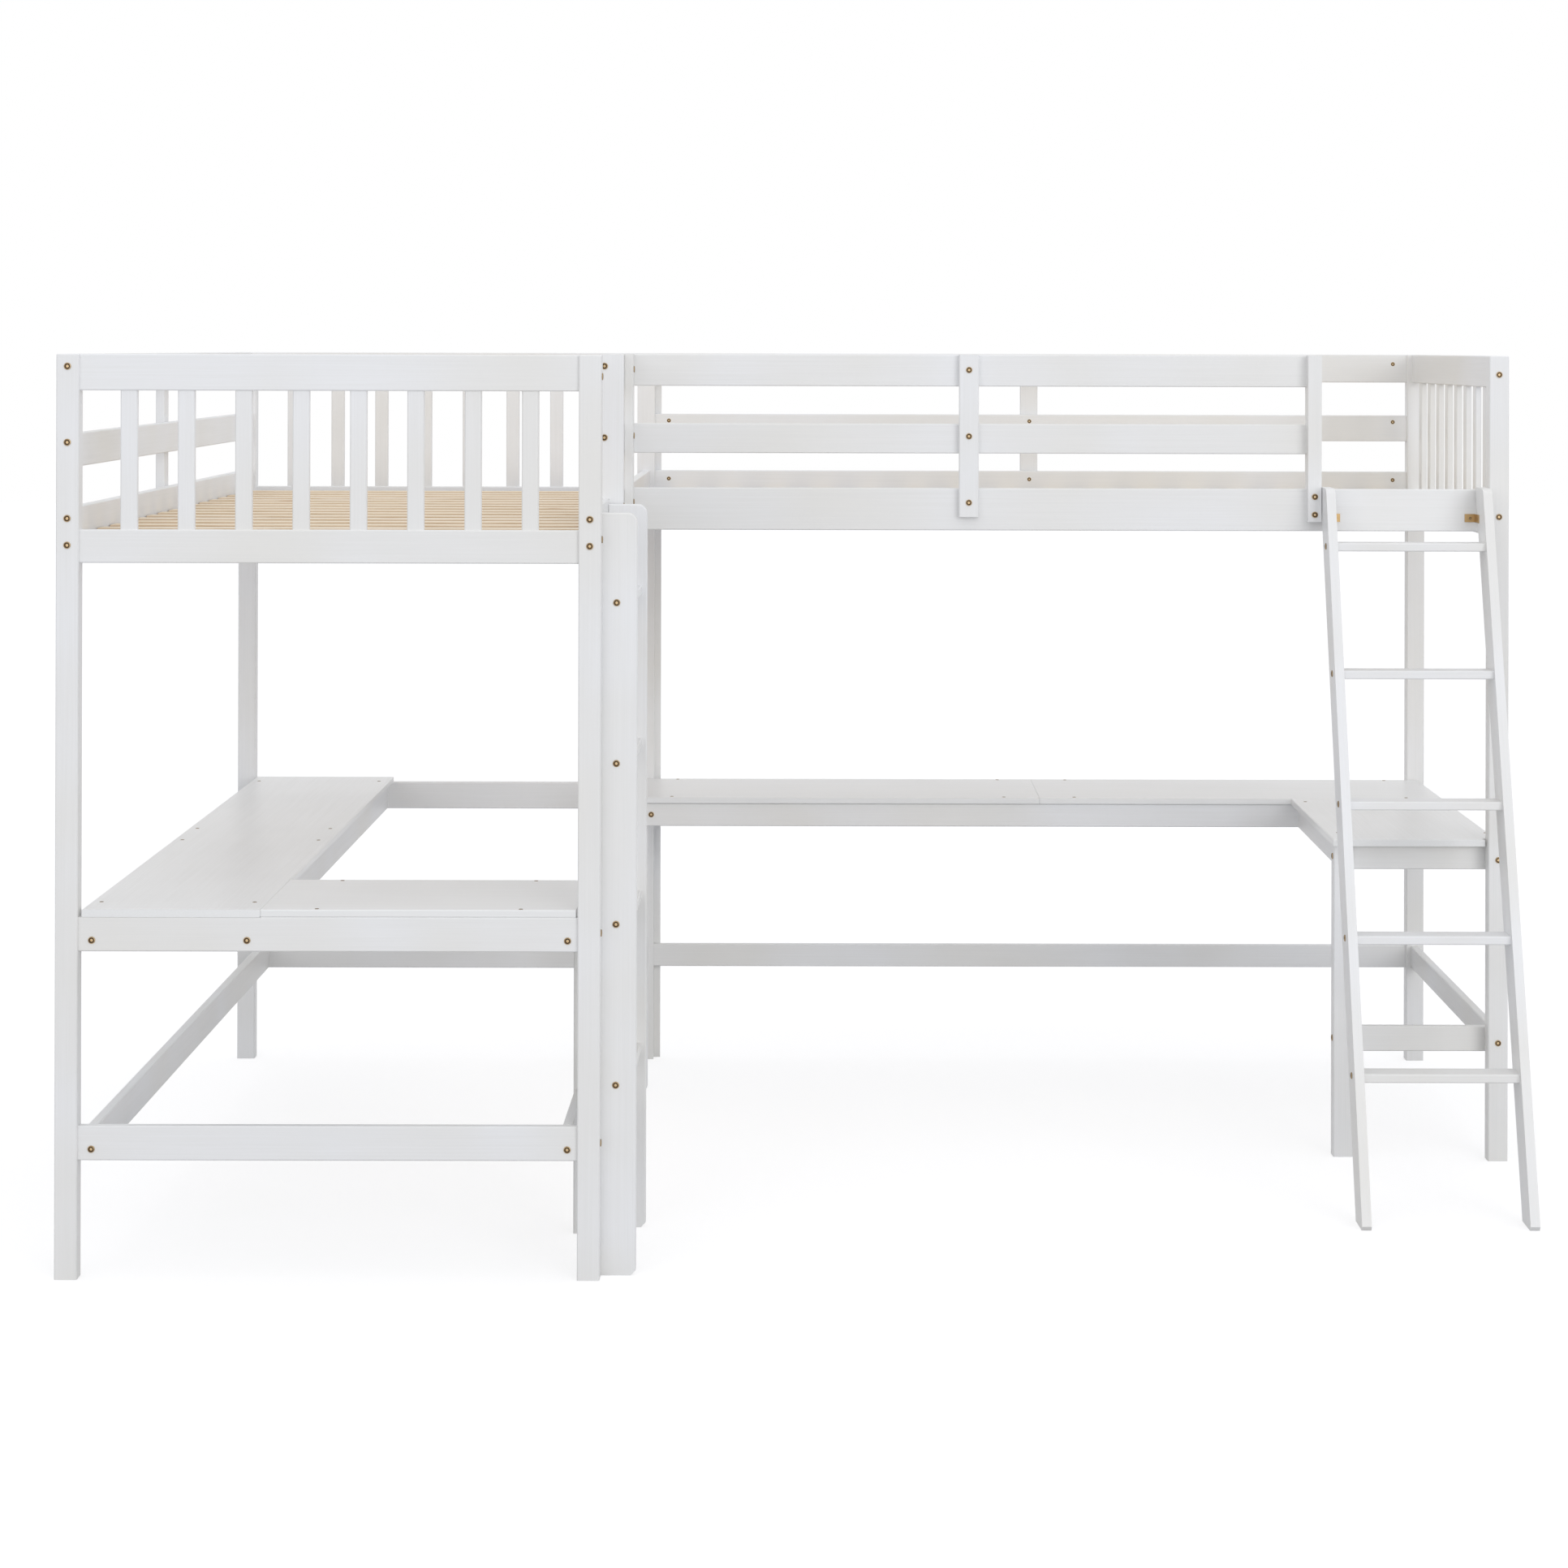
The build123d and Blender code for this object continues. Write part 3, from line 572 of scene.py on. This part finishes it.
floor_material, tree = new_material("studio_floor")
diffuse = add(tree, "ShaderNodeBsdfDiffuse", inputs={"Color": linear("#B4B4B5")})
glow = add(tree, "ShaderNodeEmission", inputs={"Color": (1, 1, 1, 1), "Strength": FLOOR_GLOW})
both = add(tree, "ShaderNodeAddShader", inputs={0: diffuse.outputs[0], 1: glow.outputs[0]})
seen = add(tree, "ShaderNodeMixShader", inputs={
    0: seen_rays(tree), 1: diffuse.outputs[0], 2: both.outputs[0]})
add(tree, "ShaderNodeOutputMaterial", inputs={"Surface": seen.outputs[0]})
corner = FLOOR_SIZE / 2
floor_mesh = bpy.data.meshes.new("floor")
floor_mesh.from_pydata([(-corner, -corner, 0), (corner, -corner, 0), (corner, corner, 0),
                        (-corner, corner, 0)], [], [(0, 1, 2, 3)])
floor_mesh.materials.append(floor_material)
floor = bpy.data.objects.new("floor", floor_mesh)
bpy.context.scene.collection.objects.link(floor)

world = bpy.data.worlds.new("white_studio")
bpy.context.scene.world = world
world.use_nodes = True
tree = world.node_tree
tree.nodes.clear()
soft = add(tree, "ShaderNodeBackground", inputs={"Color": linear("#F6F7FA"), "Strength": SOFT_STRENGTH})
white = add(tree, "ShaderNodeBackground", inputs={"Color": (1, 1, 1, 1), "Strength": 1.0})
sky = add(tree, "ShaderNodeMixShader", inputs={
    0: seen_rays(tree), 1: soft.outputs[0], 2: white.outputs[0]})
add(tree, "ShaderNodeOutputWorld", inputs={"Surface": sky.outputs[0]})
print("studio floor:", FLOOR_SIZE, "m wide")

# %% [markdown]
# Three large soft lamps: a key from the front right, a weaker one from the front left, and a top
# lamp that lights the decks and desks. Large lamps give the faint soft-edged shadows of a shop photo.

# %% Lamps
# Place and size in metres, and power in watts
LAMPS = {
    "key": ((10.0, -20.0, 5.5), 11.0, 1180.0),
    "fill": ((-8.0, -20.0, 4.0), 11.0, 450.0),
    "top": ((0.0, -0.5, 6.0), 6.0, 25.0),
}
AIM = Vector((0.0, 0.0, 0.9))
for name, (place, size, power) in LAMPS.items():
    lamp = bpy.data.lights.new(name, "AREA")
    lamp.shape = "SQUARE"
    lamp.size = size
    lamp.energy = power
    stand = bpy.data.objects.new(name, lamp)
    stand.location = place
    stand.rotation_euler = (AIM - Vector(place)).to_track_quat("-Z", "Y").to_euler()
    bpy.context.scene.collection.objects.link(stand)
print("lamps:", ", ".join(LAMPS))

# %% [markdown]
# The photograph was taken from the front with the lens level and shifted down, as furniture is,
# so that the posts stay upright in the picture. A shift lens does that here too: the camera looks
# straight back, and its shift moves the frame.

# %% Camera
PHOTO = 1932                        # side of the photograph, in pixels
FOCAL = 3997.457                    # focal length, in the photograph's pixels
CENTRE = (1026.573, 421.736)        # where the lens axis meets the photograph
EYE = Vector((-11.735, -7315.763, 1817.110)) * MM
YAW, PITCH, ROLL = 0.00223, 0.00139, 0.00231
SENSOR = 36.0                       # millimetres, the unit that a lens is given in
FAR_CLIP = 200.0                    # metres
forward = Vector((YAW, 1.0, PITCH)).normalized()
level_right = forward.cross(Vector((0, 0, 1))).normalized()
level_up = level_right.cross(forward)
right = (level_right + level_up * ROLL).normalized()
up = (level_up - level_right * ROLL).normalized()
lens = bpy.data.cameras.new("camera")
lens.sensor_width = SENSOR
lens.lens = lens.sensor_width * FOCAL / PHOTO
lens.shift_x = (PHOTO / 2 - CENTRE[0]) / PHOTO
lens.shift_y = (CENTRE[1] - PHOTO / 2) / PHOTO
lens.clip_end = FAR_CLIP
camera = bpy.data.objects.new("camera", lens)
camera.matrix_world = Matrix.Translation(EYE) @ Matrix((right, up, -forward)).transposed().to_4x4()
bpy.context.scene.collection.objects.link(camera)
bpy.context.scene.camera = camera
bpy.context.scene.view_settings.view_transform = "Standard"
print("lens:", round(lens.lens, 1), "mm")
